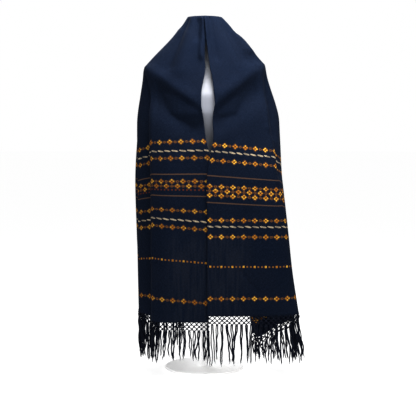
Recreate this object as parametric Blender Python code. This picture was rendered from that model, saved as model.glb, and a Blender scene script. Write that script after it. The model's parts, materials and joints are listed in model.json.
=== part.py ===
"""Rebozo shawl on a limbless dress form, in metres, +Z up, front towards -Y.

The web is one long cloth. Its middle lies on the neck cap and hangs as a cowl behind the neck. Each
end comes over a shoulder, breaks over the bust and hangs to a weft hem, which carries a knotted net
and a long fringe. Half a shawl is worked out as a grid: its columns run round from the inner
selvedge at the centre front to the centre back, and its rows run from the neck cap down to the hem.
"""

import math
from collections import namedtuple

import bmesh
import bpy
import numpy as np

# Driving sizes
CLOTH_WIDTH = 0.64  # selvedge to selvedge
WALL = 0.002  # thickness of the cloth's solid
SEAM_GAP = 0.0003  # between neighbouring pieces
FOLDED_GAP = 0.0015  # between pieces whose edges are folded or slope, as at the break and the hem
NET_DEPTH = 0.036  # two rows of knotted mesh under the hem
NET_WALL = 0.003
FRINGE_WALL = 0.008  # reach of the free strands, front to back
CAP_TOP = 1.186  # height of the neck cap's upper face
CAP_RADIUS = 0.051
CAP_THICKNESS = 0.016
CLOTH_ON_CAP = 0.004  # the cloth's middle plane above the cap
RIM_RADIUS = 0.0555  # where the cloth turns down over the cap
SLIT_HALF = 0.0022  # half the slit between the two inner selvedges on the cap
HOLE_RADIUS = 0.009  # where the slit ends on the cap

# Cloth across: named warp lines, as distances from the inner selvedge
INNER, BREAST, FRONT, EDGE = 0.0, 0.10, 0.19, 0.225
TUCK, SIDE, FLANK, OUTER = 0.25, 0.31, 0.44, CLOTH_WIDTH
WARP_LINES = (INNER, BREAST, FRONT, EDGE, TUCK, SIDE, FLANK, OUTER)
FLUTE_PITCH = 0.11  # cloth in each lengthwise fold between the side and the outer selvedge

# The line where the cloth leaves the form and starts to hang, at named warp lines. Each half is
# described as if it were the +X one.
BreakPoint = namedtuple("BreakPoint", "across x y z")
RIGHT_BREAK = (
    BreakPoint(INNER, 0.036, -0.150, 0.898),
    BreakPoint(BREAST, 0.114, -0.104, 0.962),
    BreakPoint(FRONT, 0.176, -0.040, 1.018),
    BreakPoint(EDGE, 0.199, -0.008, 1.034),
    BreakPoint(SIDE, 0.209, 0.030, 1.000),
    BreakPoint(FLANK, 0.190, 0.070, 0.960),
    BreakPoint(OUTER, 0.070, 0.140, 0.890),
)
LEFT_BREAK = (
    BreakPoint(INNER, 0.010, -0.145, 0.893),
    BreakPoint(BREAST, 0.100, -0.108, 0.955),
    BreakPoint(FRONT, 0.170, -0.044, 1.010),
    BreakPoint(EDGE, 0.197, -0.008, 1.025),
    BreakPoint(SIDE, 0.206, 0.030, 0.992),
    BreakPoint(FLANK, 0.186, 0.070, 0.955),
    BreakPoint(OUTER, 0.070, 0.140, 0.890),
)
CENTRE_BACK = (0.0, 0.152, 0.815)  # lowest point of the outer selvedge, behind the form

# Hanging sections, from the break line down. Each is laid out like a tape from the inner selvedge:
# level is the share of the way down, x and y are its start, each named warp line has the direction
# in degrees that the cloth runs in there (0 outwards, 90 backwards, 180 inwards), and wave is how
# far the lengthwise folds behind the side swing that direction either way.
Section = namedtuple("Section", "level x y inner breast front edge tuck side flank outer wave")
RIGHT_SECTIONS = (
    Section(0.00, 0.000, 0.000, 0, 0, 0, 0, 0, 100, 138, 165, 76),
    Section(0.20, 0.021, -0.152, 5, 21, 40, 50, 80, 60, 147, 179, 71),
    Section(0.45, 0.011, -0.152, 0, 3, 15, 34, 64, 91, 123, 163, 61),
    Section(0.72, 0.010, -0.152, 0, 0, 3, 8, 30, 98, 117, 153, 57),
    Section(1.00, 0.010, -0.152, 0, 0, 0, 0, 0, 63, 126, 150, 54),
)
LEFT_SECTIONS = (
    Section(0.00, 0.000, 0.000, 0, 0, 0, 0, 0, 100, 138, 165, 76),
    Section(0.20, -0.004, -0.144, 3, 14, 46, 118, 36, 58, 134, 172, 70),
    Section(0.45, -0.014, -0.143, 2, 3, 46, 130, 30, 47, 130, 174, 64),
    Section(0.72, -0.015, -0.143, 2, 2, 46, 130, 30, 50, 128, 174, 62),
    Section(1.00, -0.015, -0.143, 2, 2, 46, 128, 29, 53, 128, 174, 58),
)

# Hem heights, the depth of the free fringe under the net and how far it flares outwards, at named
# warp lines
HemPoint = namedtuple("HemPoint", "across height fringe flare")
RIGHT_HEM = (
    HemPoint(INNER, 0.210, 0.128, 0.0),
    HemPoint(BREAST, 0.210, 0.124, 0.0),
    HemPoint(EDGE, 0.210, 0.122, 0.008),
    HemPoint(SIDE, 0.214, 0.118, 0.018),
    HemPoint(FLANK, 0.150, 0.076, 0.008),
    HemPoint(OUTER, 0.136, 0.062, 0.0),
)
LEFT_HEM = (
    HemPoint(INNER, 0.188, 0.098, 0.0),
    HemPoint(BREAST, 0.187, 0.090, 0.0),
    HemPoint(FRONT, 0.186, 0.098, 0.0),
    HemPoint(SIDE, 0.212, 0.128, -0.004),
    HemPoint(OUTER, 0.206, 0.122, 0.0),
)

# Way round the neck of each half: 0 at the centre front, 1 at the centre back
ROUND_EDGE = 0.48
ROUND_OUTER = 0.80

# Cowl folds behind the neck
COWL_DEPTH = 0.013
COWL_COUNT = 3.0
COWL_START = 0.22  # share of the way from the cap rim to the lower edge
COWL_RAMP = (0.72, 0.92)  # ways round the neck where the folds begin and are full
COWL_LEAN = 0.35  # upward part of the way the folds push outwards

# How far the cloth falls in towards the neck on the way to the shoulder; negative stands away
LEFT_HUG = 0.014
RIGHT_HUG = -0.014
HUG_MIDDLE = 0.45  # way round the neck
HUG_SPREAD = 0.16
HUG_DIP = 0.25  # share of the way down where the dip under the rim ends
RIM_DROP = 0.0012  # how far the rim row lies under the cap's flat cloth

# Grid of the CAD cloth
COLUMNS_FRONT = 8  # inner selvedge to the fold edge
COLUMNS_REAR = 22  # fold edge to the outer selvedge
COLUMNS_BACK = 5  # outer selvedge to the centre back
ROWS_CAP = 1
ROWS_TOP = 10
ROWS_HANG = 10
PLAN_STEPS = 280  # steps of the tape that each section is laid with

# Dress form sections: height, half width, reach to the front, reach to the back, squareness
FormSection = namedtuple("FormSection", "z half_width front back power")
FORM_SECTIONS = (
    FormSection(0.440, 0.130, 0.086, 0.078, 2.1),
    FormSection(0.452, 0.144, 0.096, 0.088, 2.1),
    FormSection(0.520, 0.150, 0.100, 0.092, 2.1),
    FormSection(0.600, 0.140, 0.095, 0.086, 2.1),
    FormSection(0.700, 0.118, 0.086, 0.076, 2.1),
    FormSection(0.790, 0.134, 0.108, 0.084, 2.2),
    FormSection(0.870, 0.150, 0.134, 0.090, 2.3),
    FormSection(0.930, 0.157, 0.126, 0.094, 2.3),
    FormSection(0.985, 0.160, 0.092, 0.078, 2.1),
    FormSection(1.015, 0.158, 0.060, 0.052, 2.0),
    FormSection(1.040, 0.122, 0.052, 0.052, 2.0),
    FormSection(1.075, 0.078, 0.050, 0.056, 2.0),
    FormSection(1.105, 0.054, 0.047, 0.051, 2.0),
    FormSection(CAP_TOP - CAP_THICKNESS - SEAM_GAP, 0.048, 0.045, 0.048, 2.0),
)
FORM_SIDES = 36
POLE_RADIUS = 0.012
BASE_RADIUS = 0.135
BASE_HEIGHT = 0.014
BASE_BEVEL = 0.004
ROUND_SIDES = 40

# Colours
NAVY = (0.010, 0.016, 0.034, 1.0)
FRINGE_NAVY = (0.006, 0.008, 0.018, 1.0)
FORM_WHITE = (0.78, 0.78, 0.80, 1.0)
STAND_WHITE = (0.86, 0.86, 0.87, 1.0)


def material(name, colour, roughness, metallic=0.0):
    made = bpy.data.materials.new(name)
    made.use_nodes = True
    shader = made.node_tree.nodes["Principled BSDF"]
    shader.inputs["Base Color"].default_value = colour
    shader.inputs["Roughness"].default_value = roughness
    shader.inputs["Metallic"].default_value = metallic
    return made


def add_object(name, mesh, surface, smooth_angle=math.radians(50)):
    mesh.materials.append(surface)
    mesh.shade_smooth()
    mesh.set_sharp_from_angle(angle=smooth_angle)
    made = bpy.data.objects.new(name, mesh)
    bpy.context.scene.collection.objects.link(made)
    return made


def smooth_curve(stations, values, at):
    """Values at the given places on a smooth curve through the stations, with no overshoot."""
    stations = np.asarray(stations, float)
    values = np.asarray(values, float)
    step = np.diff(stations)
    slope = np.diff(values) / step
    tangent = np.zeros_like(values)
    tangent[0] = slope[0]
    tangent[-1] = slope[-1]
    for k in range(1, len(values) - 1):
        if slope[k - 1] * slope[k] > 0:
            tangent[k] = 2 * slope[k - 1] * slope[k] / (slope[k - 1] + slope[k])
    at = np.clip(at, stations[0], stations[-1])
    k = np.clip(np.searchsorted(stations, at) - 1, 0, len(step) - 1)
    t = (at - stations[k]) / step[k]
    rise = values[k] * (2 * t**3 - 3 * t**2 + 1) + values[k + 1] * (3 * t**2 - 2 * t**3)
    lean = tangent[k] * (t**3 - 2 * t**2 + t) + tangent[k + 1] * (t**3 - t**2)
    return rise + lean * step[k]


def through(rows, column, at, key="across"):
    """One column of a named table, read as a smooth curve at the given places."""
    return smooth_curve([getattr(r, key) for r in rows], [getattr(r, column) for r in rows], at)


def section_plan(section, across):
    """The plan points of one hanging section at the given distances from the inner selvedge."""
    fine = np.linspace(0, CLOTH_WIDTH, PLAN_STEPS + 1)
    turn = smooth_curve(WARP_LINES, section[3:-1], fine)
    behind = np.maximum(fine - SIDE, 0)
    turn = np.radians(turn + section.wave * np.sin(2 * np.pi * behind / FLUTE_PITCH))
    step = fine[1] - fine[0]
    middle = (turn[1:] + turn[:-1]) / 2
    x = section.x + np.concatenate([[0], np.cumsum(np.cos(middle) * step)])
    y = section.y + np.concatenate([[0], np.cumsum(np.sin(middle) * step)])
    return np.interp(across, fine, x), np.interp(across, fine, y)


def columns():
    """(distance from the inner selvedge, share of the way round the neck) for each column."""
    front = np.linspace(INNER, EDGE, COLUMNS_FRONT + 1)
    rear = np.linspace(EDGE, OUTER, COLUMNS_REAR + 1)[1:]
    across = np.concatenate([front, rear])
    hanging = np.interp(across, [INNER, EDGE, OUTER], [0.0, ROUND_EDGE, ROUND_OUTER])
    behind = np.linspace(ROUND_OUTER, 1.0, COLUMNS_BACK + 1)[1:]
    return across, np.concatenate([hanging, behind])


def lower_edge(across, break_line, folds):
    """The lower edge of the top stretch, without and with the lengthwise folds.

    It is the break line, and then the outer selvedge round to the centre back.
    """
    points = np.stack([through(break_line, axis, across) for axis in "xyz"], axis=1)
    plan = np.stack(section_plan(folds, np.append(across, SIDE)), axis=1)
    side = np.array([through(break_line, axis, np.array([SIDE]))[0] for axis in "xy"])
    rear = across > SIDE
    points[rear, :2] = side + plan[:-1][rear] - plan[-1]
    corner = points[-1]
    smooth = points.copy()
    share = (across[rear, None] - SIDE) / (OUTER - SIDE)
    smooth[rear, :2] = side + (corner[:2] - side) * share
    angle = np.linspace(0, np.pi / 2, COLUMNS_BACK + 1)[1:]
    behind = np.stack(
        [
            corner[0] * np.cos(angle),
            corner[1] + (CENTRE_BACK[1] - corner[1]) * np.sin(angle),
            corner[2] + (CENTRE_BACK[2] - corner[2]) * np.sin(angle),
        ],
        axis=1,
    )
    return np.concatenate([smooth, behind]), np.concatenate([points, behind])


def top_rows(smooth_end, folded_end, round_share, hug):
    """The rows from the slit's end on the cap, over its rim, and down to the lower edge."""
    angle = np.pi * round_share
    level = CAP_TOP + CLOTH_ON_CAP
    out = np.stack([np.sin(angle), -np.cos(angle)], axis=1)
    slit = SLIT_HALF * np.clip(1 - round_share / 0.1, 0, 1)
    rows = []
    for share in np.linspace(0, 1, ROWS_CAP + 1):
        radius = HOLE_RADIUS + (RIM_RADIUS - HOLE_RADIUS) * share
        row = np.column_stack([out * radius, np.full(len(angle), level)])
        row[:, 0] += slit
        rows.append(row)
    rim = rows[-1]
    rim[:, 2] -= RIM_DROP
    chord = smooth_end - rim
    outward = np.column_stack([out, np.full(len(angle), COWL_LEAN)])
    to_back = np.interp(round_share, COWL_RAMP, [0, 1])
    to_side = np.exp(-(((round_share - HUG_MIDDLE) / HUG_SPREAD) ** 2))
    for share in np.linspace(0, 1, ROWS_TOP + 1)[1:]:
        row = rim + chord * share + (folded_end - smooth_end) * share**2
        dip = hug / 2 * math.sin(math.pi * min(share / HUG_DIP, 1)) * (1 - share)
        row[:, 2] -= dip * (1 - round_share**2)
        fold_share = max(0.0, (share - COWL_START) / (1 - COWL_START))
        wave = math.sin(2 * math.pi * COWL_COUNT * fold_share) * min(1, 3 * fold_share)
        row += outward * (COWL_DEPTH * wave * to_back)[:, None]
        row[:, 0] -= hug * to_side * math.sin(math.pi * share) ** 2 * (1 - share)
        rows.append(row)
    return np.array(rows)


def hanging_rows(across, sections, hem, start):
    """The rows below the break line, down to the hem."""
    levels = [s.level for s in sections]
    plans = [section_plan(s, across) for s in sections[1:]]
    height = through(hem, "height", across)
    shares = np.linspace(0, 1, ROWS_HANG + 1)[1:]
    rows = np.zeros((len(shares), len(across), 3))
    for i in range(len(across)):
        for axis in (0, 1):
            path = [start[i, axis]] + [plan[axis][i] for plan in plans]
            rows[:, i, axis] = smooth_curve(levels, path, shares)
        rows[:, i, 2] = start[i, 2] + (height[i] - start[i, 2]) * shares
    return rows


def normals(grid):
    """Unit normals of a grid of points."""
    along = np.gradient(grid, axis=0)
    over = np.gradient(grid, axis=1)
    found = np.cross(along, over)
    return found / np.maximum(np.linalg.norm(found, axis=2, keepdims=True), 1e-12)


def half_shawl(break_line, sections, hem, hug):
    """The middle plane of one half on the +X side: (top, its normals, hanging, its normals)."""
    across, round_share = columns()
    hung = len(across)
    ends = lower_edge(across, break_line, sections[0])
    top = top_rows(*ends, round_share, hug)
    hanging = hanging_rows(across, sections, hem, top[-1, :hung])
    below = 2 * top[-1] - top[-2]
    below[:hung] = hanging[0]
    top_normal = normals(np.concatenate([top, below[None]]))[:-1]
    end = np.concatenate([top[-1:, :hung], hanging])
    end_normal = normals(end)
    end_normal[0] = top_normal[-1, :hung]
    return top, top_normal, end, end_normal


def pull_back(grid, side, distance):
    """Draws one edge of a grid in by a distance, along the cloth."""
    grid = grid.copy()
    edge, inside = {
        "first_row": (grid[0], grid[1]),
        "last_row": (grid[-1], grid[-2]),
        "first_column": (grid[:, 0], grid[:, 1]),
        "last_column": (grid[:, -1], grid[:, -2]),
    }[side]
    way = inside - edge
    edge += way * (distance / np.maximum(np.linalg.norm(way, axis=1, keepdims=True), 1e-9))
    return grid


def wall_mesh(name, grid, normal, thickness):
    """A closed wall round a grid of points, half its thickness to each side."""
    rows, count = grid.shape[:2]
    skins = [grid + normal * thickness / 2, grid - normal * thickness / 2]
    bm = bmesh.new()
    points = [[[bm.verts.new(p) for p in row] for row in skin] for skin in skins]
    for j in range(rows - 1):
        for i in range(count - 1):
            a, b = points
            bm.faces.new((a[j][i], a[j + 1][i], a[j + 1][i + 1], a[j][i + 1]))
            bm.faces.new((b[j][i], b[j][i + 1], b[j + 1][i + 1], b[j + 1][i]))
    rim = [(0, i) for i in range(count)] + [(j, count - 1) for j in range(1, rows)]
    rim += [(rows - 1, i) for i in range(count - 2, -1, -1)]
    rim += [(j, 0) for j in range(rows - 2, 0, -1)]
    for (j0, i0), (j1, i1) in zip(rim, rim[1:] + rim[:1]):
        bm.faces.new((points[0][j0][i0], points[0][j1][i1], points[1][j1][i1], points[1][j0][i0]))
    bmesh.ops.recalc_face_normals(bm, faces=bm.faces)
    mesh = bpy.data.meshes.new(name)
    bm.to_mesh(mesh)
    bm.free()
    return mesh


def mirrored(grid):
    return grid * np.array([-1.0, 1.0, 1.0])


def build_end(side, end, normal, hem, cloth, strand):
    """One hanging end: its front, its return behind the fold edge, its net and its fringe."""
    fold = COLUMNS_FRONT
    for name, first, last, seam in (
        ("front", 0, fold, "last_column"),
        ("return", fold, end.shape[1] - 1, "first_column"),
    ):
        grid = pull_back(end[:, first : last + 1], "first_row", FOLDED_GAP)
        grid = pull_back(grid, seam, SEAM_GAP)
        mesh = wall_mesh(f"shawl_{side}_{name}", grid, normal[:, first : last + 1], WALL)
        add_object(f"shawl_{side}_{name}", mesh, cloth)
    across = columns()[0]
    hem_line = end[-1]
    hem_normal = normal[-1] * np.array([1.0, 1.0, 0.0])
    hem_normal /= np.linalg.norm(hem_normal, axis=1, keepdims=True)
    drop = np.array([0.0, 0.0, -1.0])
    net_top = hem_line + drop * FOLDED_GAP
    net_end = net_top + drop * NET_DEPTH
    fringe_top = net_end + drop * FOLDED_GAP
    fringe_end = fringe_top + drop * through(hem, "fringe", across)[:, None]
    fringe_end[:, 0] += through(hem, "flare", across) * (1 if side == "right" else -1)
    for name, first, last, thickness in (
        ("net", net_top, net_end, NET_WALL),
        ("fringe", fringe_top, fringe_end, FRINGE_WALL),
    ):
        grid = np.array([first, last])
        mesh = wall_mesh(f"{side}_{name}", grid, np.array([hem_normal] * 2), thickness)
        add_object(f"{side}_{name}", mesh, strand)


def build_shawl():
    cloth = material("navy_cotton", NAVY, 0.85)
    strand = material("navy_strands", FRINGE_NAVY, 0.8)
    right = half_shawl(RIGHT_BREAK, RIGHT_SECTIONS, RIGHT_HEM, RIGHT_HUG)
    left_half = half_shawl(LEFT_BREAK, LEFT_SECTIONS, LEFT_HEM, LEFT_HUG)
    left = [mirrored(grid) for grid in left_half]
    ring, ring_normal = (np.concatenate([left[k], right[k][:, -2::-1]], axis=1) for k in (0, 1))
    mesh = wall_mesh("shawl_neck", pull_back(ring, "last_row", SEAM_GAP), ring_normal, WALL)
    add_object("shawl_neck", mesh, cloth)
    build_end("right", right[2], right[3], RIGHT_HEM, cloth, strand)
    build_end("left", left[2], left[3], LEFT_HEM, cloth, strand)


def form_ring(section):
    """The points of one section of the dress form."""
    points = []
    for k in range(FORM_SIDES):
        angle = 2 * math.pi * k / FORM_SIDES
        c = math.cos(angle)
        s = math.sin(angle)
        size = (abs(c) ** section.power + abs(s) ** section.power) ** (-1 / section.power)
        reach = section.back if s > 0 else section.front
        points.append((section.half_width * c * size, reach * s * size, section.z))
    return points


def build_torso():
    bm = bmesh.new()
    rings = [[bm.verts.new(p) for p in form_ring(s)] for s in FORM_SECTIONS]
    for low, high in zip(rings, rings[1:]):
        for k in range(FORM_SIDES):
            n = (k + 1) % FORM_SIDES
            bm.faces.new((low[k], low[n], high[n], high[k]))
    bm.faces.new(rings[0])
    bm.faces.new(rings[-1])
    bmesh.ops.recalc_face_normals(bm, faces=bm.faces)
    mesh = bpy.data.meshes.new("form_torso")
    bm.to_mesh(mesh)
    bm.free()
    add_object("form_torso", mesh, material("form_white", FORM_WHITE, 0.5))


def turned_solid(name, radius, low, high, surface, bevel=0.0):
    """A round solid on the vertical axis, with its long edges bevelled."""
    bm = bmesh.new()
    bmesh.ops.create_cone(
        bm,
        cap_ends=True,
        segments=ROUND_SIDES,
        radius1=radius,
        radius2=radius,
        depth=high - low,
    )
    if bevel:
        rims = [e for e in bm.edges if abs(e.verts[0].co.z - e.verts[1].co.z) < 1e-6]
        bmesh.ops.bevel(bm, geom=rims, offset=bevel, segments=2, affect="EDGES")
    mesh = bpy.data.meshes.new(name)
    bm.to_mesh(mesh)
    bm.free()
    made = add_object(name, mesh, surface, smooth_angle=math.radians(40))
    made.location.z = (low + high) / 2
    return made


def build_form():
    build_torso()
    white = material("stand_white", STAND_WHITE, 0.35)
    cap_low = CAP_TOP - CAP_THICKNESS
    turned_solid("form_neck_cap", CAP_RADIUS, cap_low, CAP_TOP, white, bevel=0.003)
    torso_low = FORM_SECTIONS[0].z - SEAM_GAP
    pole_low = BASE_HEIGHT + SEAM_GAP
    turned_solid("form_pole", POLE_RADIUS, pole_low, torso_low, white)
    turned_solid("form_base", BASE_RADIUS, 0.0, BASE_HEIGHT, white, bevel=BASE_BEVEL)


def main():
    for old in list(bpy.data.objects):
        bpy.data.objects.remove(old, do_unlink=True)
    build_shawl()
    build_form()


main()
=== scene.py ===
"""Looks of a rebozo shawl on a dress form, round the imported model, in metres, +Z up.

The web is one thin shell. Half of it is worked out as a grid whose columns run round from the inner
selvedge at the centre front to the centre back, and whose rows run from the neck cap to the hem. The
woven bands lie on it by two cloth coordinates: across, from the inner selvedge, and height, up from
the hem. Under each hem hang a knotted net and a fringe of single strands.
"""

import json
import math
from collections import namedtuple

import bmesh
import bpy
import numpy as np
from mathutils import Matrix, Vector
from mathutils.bvhtree import BVHTree

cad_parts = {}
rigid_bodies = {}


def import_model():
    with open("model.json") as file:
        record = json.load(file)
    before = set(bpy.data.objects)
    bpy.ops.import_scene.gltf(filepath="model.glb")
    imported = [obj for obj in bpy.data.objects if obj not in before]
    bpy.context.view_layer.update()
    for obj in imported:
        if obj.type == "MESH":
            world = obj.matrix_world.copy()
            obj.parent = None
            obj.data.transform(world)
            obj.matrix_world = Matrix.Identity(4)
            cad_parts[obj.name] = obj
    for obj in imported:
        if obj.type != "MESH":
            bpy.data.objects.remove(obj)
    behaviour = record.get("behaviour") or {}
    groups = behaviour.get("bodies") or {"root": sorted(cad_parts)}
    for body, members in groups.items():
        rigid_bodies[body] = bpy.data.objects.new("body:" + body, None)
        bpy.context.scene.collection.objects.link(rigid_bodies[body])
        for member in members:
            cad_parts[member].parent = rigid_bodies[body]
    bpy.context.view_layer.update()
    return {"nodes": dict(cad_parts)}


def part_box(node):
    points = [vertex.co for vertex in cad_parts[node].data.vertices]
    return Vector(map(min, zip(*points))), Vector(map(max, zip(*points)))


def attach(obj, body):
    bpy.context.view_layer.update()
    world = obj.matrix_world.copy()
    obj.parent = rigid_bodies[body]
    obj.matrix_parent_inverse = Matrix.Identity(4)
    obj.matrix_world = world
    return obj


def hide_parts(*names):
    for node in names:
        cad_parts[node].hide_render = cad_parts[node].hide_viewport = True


for startup_object in list(bpy.data.objects):
    bpy.data.objects.remove(startup_object)

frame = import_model()

# Driving sizes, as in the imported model
CLOTH_WIDTH = 0.64
CLOTH_THICKNESS = 0.0012
CAP_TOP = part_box("form_neck_cap")[1].z
CLOTH_ON_CAP = 0.004
RIM_RADIUS = 0.0555
RIM_DROP = 0.0012
SLIT_HALF = 0.0022  # of the slit between the inner selvedges on the cap, before they lap
SLIT_REACH = 0.1  # share of the way round the neck over which it closes
HOLE_RADIUS = 0.0005
NET_DEPTH = 0.036
FORM_CLEARANCE = 0.0022
FORM_REACH = 0.5  # below this height the cloth hangs well clear of the form

# Named warp lines, as distances from the inner selvedge
INNER, BREAST, FRONT, EDGE = 0.0, 0.10, 0.19, 0.225
TUCK, SIDE, FLANK, OUTER = 0.25, 0.31, 0.44, CLOTH_WIDTH
WARP_LINES = (INNER, BREAST, FRONT, EDGE, TUCK, SIDE, FLANK, OUTER)
FLUTE_PITCH = 0.11

# Where the cloth leaves the form and starts to hang, each half as if it were the +X one
BreakPoint = namedtuple("BreakPoint", "across x y z")
RIGHT_BREAK = (
    BreakPoint(INNER, 0.036, -0.150, 0.898),
    BreakPoint(BREAST, 0.114, -0.104, 0.962),
    BreakPoint(FRONT, 0.176, -0.040, 1.018),
    BreakPoint(EDGE, 0.199, -0.008, 1.034),
    BreakPoint(SIDE, 0.209, 0.030, 1.000),
    BreakPoint(FLANK, 0.190, 0.070, 0.960),
    BreakPoint(OUTER, 0.070, 0.140, 0.890),
)
LEFT_BREAK = (
    BreakPoint(INNER, 0.010, -0.145, 0.893),
    BreakPoint(BREAST, 0.100, -0.108, 0.955),
    BreakPoint(FRONT, 0.170, -0.044, 1.010),
    BreakPoint(EDGE, 0.197, -0.008, 1.025),
    BreakPoint(SIDE, 0.206, 0.030, 0.992),
    BreakPoint(FLANK, 0.186, 0.070, 0.955),
    BreakPoint(OUTER, 0.070, 0.140, 0.890),
)
CENTRE_BACK = (0.0, 0.152, 0.815)

# Hanging sections: the direction in degrees that the cloth runs in at each warp line
Section = namedtuple("Section", "level x y inner breast front edge tuck side flank outer wave")
RIGHT_SECTIONS = (
    Section(0.00, 0.0, 0.0, 0, 0, 0, 0, 0, 100, 138, 165, 76),
    Section(0.20, 0.021, -0.152, 5, 21, 40, 50, 80, 60, 147, 179, 71),
    Section(0.45, 0.011, -0.152, 0, 3, 15, 34, 64, 91, 123, 163, 61),
    Section(0.72, 0.010, -0.152, 0, 0, 3, 8, 30, 98, 117, 153, 57),
    Section(1.00, 0.010, -0.152, 0, 0, 0, 0, 0, 63, 126, 150, 54),
)
LEFT_SECTIONS = (
    Section(0.00, 0.0, 0.0, 0, 0, 0, 0, 0, 100, 138, 165, 76),
    Section(0.20, -0.004, -0.144, 3, 14, 46, 118, 36, 58, 134, 172, 70),
    Section(0.45, -0.014, -0.143, 2, 3, 46, 130, 30, 47, 130, 174, 64),
    Section(0.72, -0.015, -0.143, 2, 2, 46, 130, 30, 50, 128, 174, 62),
    Section(1.00, -0.015, -0.143, 2, 2, 46, 128, 29, 53, 128, 174, 58),
)

# Hem heights, the depth of the free fringe and how far it flares outwards
HemPoint = namedtuple("HemPoint", "across height fringe flare")
RIGHT_HEM = (
    HemPoint(INNER, 0.210, 0.128, 0.0),
    HemPoint(BREAST, 0.210, 0.124, 0.0),
    HemPoint(EDGE, 0.210, 0.122, 0.008),
    HemPoint(SIDE, 0.214, 0.118, 0.018),
    HemPoint(0.39, 0.192, 0.110, 0.012),
    HemPoint(FLANK, 0.170, 0.092, 0.008),
    HemPoint(0.52, 0.140, 0.066, 0.004),
    HemPoint(0.60, 0.100, 0.030, 0.0),
    HemPoint(OUTER, 0.108, 0.036, 0.0),
)
LEFT_HEM = (
    HemPoint(INNER, 0.188, 0.098, 0.0),
    HemPoint(BREAST, 0.187, 0.090, 0.0),
    HemPoint(FRONT, 0.186, 0.098, 0.0),
    HemPoint(SIDE, 0.201, 0.118, -0.004),
    HemPoint(OUTER, 0.206, 0.122, 0.0),
)

# Places round the neck, from 0 at the centre front to 1 at the centre back
ROUND_EDGE = 0.48
ROUND_OUTER = 0.80

# Cowl folds behind the neck, which set in over COWL_RAMP round the neck and from COWL_START down
COWL_DEPTH = 0.013
COWL_COUNT = 3.0
COWL_START = 0.22
COWL_RAMP = (0.72, 0.92)
COWL_LEAN = 0.35

# Where round the neck a half's hug draws the cloth in, or lets it out where it is negative, and the
# share of the way down over which it also lowers the cloth under the rim
HUG_MIDDLE = 0.45
HUG_SPREAD = 0.16
HUG_DIP = 0.25

# How the inner selvedges come together over the neck: share of the way down from the cap rim, and
# how far each edge shifts towards the other and the right one comes forward
LapPoint = namedtuple("LapPoint", "share right left forward")
LAP = (
    LapPoint(0.00, 0.003, 0.006, 0.003),
    LapPoint(0.10, 0.004, 0.010, 0.004),
    LapPoint(0.25, 0.005, 0.011, 0.004),
    LapPoint(0.36, 0.0040, 0.0075, 0.002),
    LapPoint(0.48, 0.0040, 0.0080, 0.001),
    LapPoint(0.59, 0.0035, 0.0110, 0.0),
    LapPoint(0.70, 0.0, 0.0065, 0.0),
    LapPoint(0.84, 0.0, 0.0, 0.0),
    LapPoint(1.00, 0.0, 0.0, 0.0),
)
LAP_SPREAD = 0.05

# The same below the break line, as shares of the way from it to the hem
HANGING_LAP = (
    LapPoint(0.00, 0.0, 0.0, 0.0),
    LapPoint(0.10, -0.003, 0.001, 0.0),
    LapPoint(0.15, -0.006, 0.004, 0.0),
    LapPoint(0.21, -0.003, 0.011, 0.0),
    LapPoint(0.25, 0.0, 0.0155, 0.0),
    LapPoint(0.34, 0.005, 0.011, 0.0),
    LapPoint(0.46, 0.003, 0.004, 0.0),
    LapPoint(0.60, 0.0, 0.0, 0.0),
    LapPoint(1.00, 0.0, 0.0, 0.0),
)

# Main creases: each runs between two places given as across and height, in cloth
# coordinates. Depth is outwards, so a trough is negative.
Crease = namedtuple("Crease", "across0 height0 across1 height1 width depth")
RIGHT_CREASES = (
    Crease(0.030, 0.722, 0.200, 0.826, 0.022, 0.008),  # ridge along the bust break
    Crease(0.020, 0.640, 0.178, 0.742, 0.042, -0.017),
    Crease(0.088, 0.690, 0.094, 0.585, 0.018, -0.005),
    Crease(0.108, 0.150, 0.168, 0.076, 0.005, -0.0018),
    Crease(0.200, 0.830, 0.203, 0.620, 0.010, 0.004),  # edge of the fold at the side
    Crease(0.203, 0.620, 0.230, 0.440, 0.010, 0.003),
    Crease(0.250, 0.790, 0.252, 0.610, 0.025, -0.030),
    Crease(0.254, 0.560, 0.262, 0.470, 0.022, -0.014),
    Crease(0.060, 0.300, 0.050, 0.020, 0.022, 0.003),
    Crease(0.128, 0.330, 0.134, 0.010, 0.026, -0.003),
    Crease(0.004, 1.020, 0.006, 0.930, 0.014, 0.009),  # edge lying over the left front
    Crease(0.045, 1.020, 0.040, 0.860, 0.020, -0.010),
    Crease(0.090, 1.040, 0.120, 0.820, 0.026, 0.006),
    Crease(0.150, 1.050, 0.165, 0.860, 0.020, -0.008),
    Crease(0.222, 1.070, 0.222, 0.990, 0.026, -0.034),  # notch under the cap
    Crease(0.190, 1.060, 0.200, 0.900, 0.020, 0.012),
    Crease(0.360, 0.700, 0.345, 0.240, 0.014, -0.004),
    Crease(0.470, 0.760, 0.480, 0.380, 0.016, 0.004),
    Crease(0.560, 0.520, 0.545, 0.120, 0.013, -0.004),
)
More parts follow.
